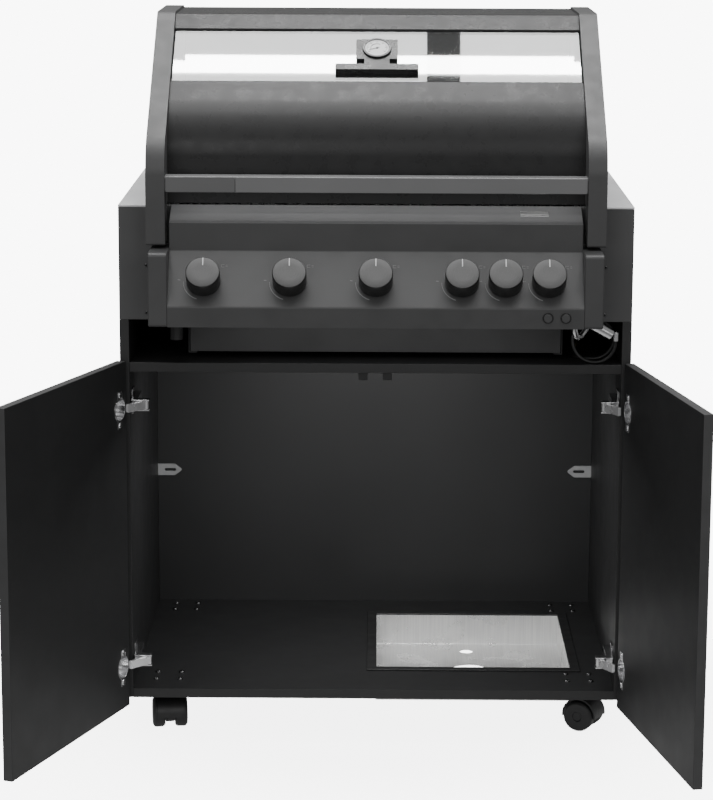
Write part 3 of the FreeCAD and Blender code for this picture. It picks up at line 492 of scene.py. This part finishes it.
def merge(build, part, matrix):
    """Adds one mesh under construction to another."""
    bmesh.ops.transform(part, matrix=matrix, verts=part.verts)
    holder = bpy.data.meshes.new("part")
    part.to_mesh(holder)
    part.free()
    build.from_mesh(holder)
    bpy.data.meshes.remove(holder)


def joint_of(name):
    return next(item for item in frame["joints"] if item["name"] == name)


def make_casters():
    for corner in CASTER_CORNERS:
        eased(f"caster_swivel_{corner}", 1.2 * MM, 3)
        eased(f"caster_wheels_{corner}", 0.6 * MM, 2)


def make_hinges():
    for node in ("hinge_arms", "hinge_cups_left", "hinge_cups_right",
                 "hinge_links_left", "hinge_links_right"):
        eased(node, 0.5 * MM, 2, LINK_STEEL if "links" in node else None)


# ---------------------------------------------------------------------------------------------
# Control panel
# ---------------------------------------------------------------------------------------------
def panel_frame(name):
    """A knob's own frame: its foot on the panel, Z out of the panel and Y up the slope."""
    joint = joint_of(name)
    turn = Vector((0, 0, 1)).rotation_difference(Vector(joint["axis"])).to_matrix().to_4x4()
    return Matrix.Translation(Vector(joint["pos_m"])) @ turn


def make_knob(number):
    build = bmesh.new()
    skirt = [(4.0, -14), (4.0, 1.5), (24.8, 1.5), (25.7, 2.2), (26.0, 3.6), (25.95, 28.5),
             (25.8, 30.6), (25.4, 31.3), (25.0, 31.45)]
    face = [(25.0, 31.45), (24.6, 31.15), (23.9, 31.35), (12, 31.3), (0, 31.2)]
    lathe(build, [(0, -14 * MM)] + [(r * MM, z * MM) for r, z in skirt], 96, 0)
    lathe(build, [(r * MM, z * MM) for r, z in face], 96, 1)
    bmesh.ops.remove_doubles(build, verts=build.verts, dist=1e-6)
    block(build, (-0.65 * MM, 11.5 * MM, 31.0 * MM), (0.65 * MM, 24.3 * MM, 31.5 * MM), 2)
    name = f"knob_{number}_turned"
    piece = new_piece(name, f"dial_{number}", [MATERIALS["knob_body"], KNOB_FACE, MARK_WHITE],
                      mesh_of(build, name, 30), panel_frame(f"knob_{number}_turn"))
    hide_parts(f"knob_{number}")


def sector(build, inner, outer, start, end, low, high, index=0, steps=28):
    """A flat raised band along an arc, in millimetres and degrees."""
    rows = []
    for step in range(steps + 1):
        angle = math.radians(start + (end - start) * step / steps)
        way = Vector((math.cos(angle), math.sin(angle), 0)) * MM
        rows.append([build.verts.new(way * inner + Vector((0, 0, low * MM))),
                     build.verts.new(way * inner + Vector((0, 0, high * MM))),
                     build.verts.new(way * outer + Vector((0, 0, high * MM))),
                     build.verts.new(way * outer + Vector((0, 0, low * MM)))])
    for first, second in zip(rows, rows[1:]):
        for k in range(4):
            build.faces.new((first[k], first[(k + 1) % 4], second[(k + 1) % 4],
                             second[k])).material_index = index
    build.faces.new(rows[0]).material_index = index
    build.faces.new(rows[-1][::-1]).material_index = index


def make_panel_marks():
    """Printed rings beside the knobs: a tapering flame-setting arc and a small plain mark."""
    build = bmesh.new()
    for number in range(1, 7):
        part = bmesh.new()
        for step in range(6):
            start = 180 + step * 12
            sector(part, 30.4, 31.0 + 0.2 * step, start, start + 12, 0.0, 0.12, 0, 8)
        sector(part, 35.5, 39.5, 175, 176.4, 0.0, 0.12)
        for low, high in (((26, 25), (31, 25.6)), ((26, 29.4), (31, 30)), ((26, 25), (26.6, 30)),
                          ((33, 26), (36, 26.6)), ((33, 28.4), (36, 29))):
            block(part, (low[0] * MM, low[1] * MM, 0), (high[0] * MM, high[1] * MM, 0.12 * MM))
        merge(build, part, panel_frame(f"knob_{number}_turn"))
    new_piece("panel_marks", "cabinet", [MARK_GREY], mesh_of(build, "panel_marks"))


def make_blank_plate():
    """The small silver plate on the ledge, left without any lettering."""
    build = bmesh.new()
    block(build, (-21.5 * MM, -8.5 * MM, 0), (21.5 * MM, 8.5 * MM, 0.4 * MM))
    slope = math.atan2(21.5, 53)
    matrix = Matrix.Translation((0.243, -0.0315, 0.8545)) @ Matrix.Rotation(slope, 4, "X")
    bmesh.ops.transform(build, matrix=matrix, verts=build.verts)
    new_piece("blank_plate", "cabinet", [LABEL_SILVER], mesh_of(build, "blank_plate"))


def make_panel_looks():
    make_blank_plate()
    # The panel's upward-facing ledge faces take the lighter coat: painted light on the top faces
    eased("control_panel", 0.5 * MM, 2, [MATERIALS["panel_sheet"], LEDGE_PAINTED_LIGHT_COAT],
          lambda centre, normal: int(normal.z > 0.8 and centre.z > 0.8))
    eased("base_castings", 1.6 * MM, 3)
    eased("button_bezels", 0.4 * MM, 2, [MATERIALS["dark_steel"]])
    for node in ("button_light", "button_ignition"):
        eased(node, 0.5 * MM, 2, [MATERIALS["panel_sheet"]])
    for number in range(1, 7):
        make_knob(number)
    make_panel_marks()


# ---------------------------------------------------------------------------------------------
# Hood
# ---------------------------------------------------------------------------------------------
GLASS_SLOPE = 0.7397
SLOPE_TURN = math.atan(GLASS_SLOPE)
GAUGE_CENTRE = Vector((0, 0.1262, 0.9954 + GLASS_SLOPE * 0.1262))
GAUGE_RIM = [(3, 8), (22.4, 8), (22.75, 8.4), (22.75, 10.2), (22.3, 11.1), (21.4, 11.45), (19.9, 11.4),
             (18.9, 10.9), (18.6, 10.0)]


def gauge_frame():
    return Matrix.Translation(GAUGE_CENTRE) @ Matrix.Rotation(SLOPE_TURN, 4, "X")


def make_thermometer():
    eased("thermometer_housing", 1.4 * MM, 3)
    build = bmesh.new()
    stem = [(0, -45), (3, -44)]
    lathe(build, [(r * MM, z * MM) for r, z in stem + GAUGE_RIM], 72, 0)
    lathe(build, [(18.6 * MM, 10.0 * MM), (9 * MM, 10.0 * MM), (0, 10.0 * MM)], 72, 1)
    bmesh.ops.remove_doubles(build, verts=build.verts, dist=1e-6)
    for step in range(25):
        angle = -125 + step * 250 / 24
        long_mark = step % 4 == 0
        turn = Matrix.Rotation(math.radians(angle), 4, "Z")
        width, inner = (0.45, 12.4) if long_mark else (0.25, 14.4)
        block(build, (-width * MM, inner * MM, 10.0 * MM), (width * MM, 16.6 * MM, 10.1 * MM), 2, turn)
    needle = Matrix.Rotation(math.radians(112), 4, "Z")
    block(build, (-0.45 * MM, -4 * MM, 10.5 * MM), (0.45 * MM, 13 * MM, 10.7 * MM), 3, needle)
    hub = bmesh.new()
    lathe(hub, [(0, 11.0 * MM), (1.6 * MM, 10.9 * MM), (2.0 * MM, 10.0 * MM)], 20, 3)
    merge(build, hub, Matrix.Identity(4))
    sector(build, 9.2, 10.4, 150, 200, 10.0, 10.1, 4)
    sector(build, 9.2, 10.4, 60, 150, 10.0, 10.1, 2)
    piece = new_piece("thermometer", "lid",
                      [MATERIALS["gauge_metal"], DIAL_WHITE, MATERIALS["seal"], MATERIALS["gauge_black"],
                       MARK_GREY], mesh_of(build, "thermometer", 30), gauge_frame())
    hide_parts("thermometer_gauge")


def make_hood_looks():
    for node in ("lid_casting_left", "lid_casting_right"):
        eased(node, 1.8 * MM, 3)
    eased("lid_sheet", 0.5 * MM, 2, [MATERIALS["hood_sheet"], INSIDE_COAT],
          lambda centre, normal: int(normal.y > 0.3 or normal.z < -0.3))
    eased("lid_top_panel", 0.5 * MM, 2, [MATERIALS["hood_sheet"], INSIDE_COAT],
          lambda centre, normal: int(normal.z < -0.3 or (normal.y < -0.3 and centre.y > 0.4)))
    eased("glass_seal", 0.6 * MM)
    eased("lid_glass", 0.4 * MM)
    eased("handle_bar", 1.0 * MM, 3)
    eased("handle_trim", 0.35 * MM, 2, [MATERIALS["trim_metal"], PLATE_DARK],
          lambda centre, normal: int(centre.x < BAR_PLATE_END_X))
    make_thermometer()


# ---------------------------------------------------------------------------------------------
# Inside the grill, and the gas line
# ---------------------------------------------------------------------------------------------
def make_inside_looks():
    for node, width in (("firebox", 0.5), ("burners", 0.5), ("heat_tents", 0.2), ("cooking_grates", 1.2),
                        ("warming_rack", 0.2), ("gas_valves", 0.6), ("gas_manifold", 0.5),
                        ("gas_inlet", 0.6), ("hose_end_nut", 0.8), ("drip_tray", 0.5)):
        eased(node, width * MM, 2, TRAY_COAT if node == "drip_tray" else None)


HOSE_LOOP = Vector((0.342, 0, 0.650))
HOSE_LOOP_RADIUS = 0.033
HOSE_TAIL = [(0.329, 0.041, 0.617), (0.313, 0.056, 0.617), (0.309, 0.080, 0.617), (0.315, 0.112, 0.617),
             (0.328, 0.142, 0.617), (0.333, 0.172, 0.618), (0.331, 0.198, 0.622)]


def hose_route():
    """One and a third turns of a loop that stands on the shelf, then a stretch to the back."""
    route = [Vector((HOSE_LOOP.x + HOSE_LOOP_RADIUS, 0, 0.652))]
    reach = HOSE_LOOP_RADIUS / math.cos(math.radians(15))
    for step in range(15):
        angle = math.radians(-15 - 30 * step)
        route.append(Vector((HOSE_LOOP.x + reach * math.cos(angle), (0.5 + 2.6 * step) * MM,
                             HOSE_LOOP.z + reach * math.sin(angle))))
    return route + [Vector(point) for point in HOSE_TAIL]


def make_hose():
    data = bpy.data.curves.new("hose", "CURVE")
    data.dimensions = "3D"
    spline = data.splines.new("NURBS")
    route = hose_route()
    spline.points.add(len(route) - 1)
    for point, place in zip(spline.points, route):
        point.co = (*place, 1)
    spline.order_u = 3
    spline.use_endpoint_u = True
    data.resolution_u = 12
    data.bevel_depth = 3 * MM
    data.bevel_resolution = 5
    data.use_fill_caps = True
    data.materials.append(MATERIALS["hose_rubber"])
    hose = bpy.data.objects.new("hose", data)
    bpy.context.scene.collection.objects.link(hose)
    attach(hose, "cabinet")
    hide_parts("gas_hose")


make_camera()
make_world()
make_floor()
make_lights()
make_cabinet_looks()
make_casters()
make_hinges()
make_panel_looks()
make_hood_looks()
make_inside_looks()
make_hose()
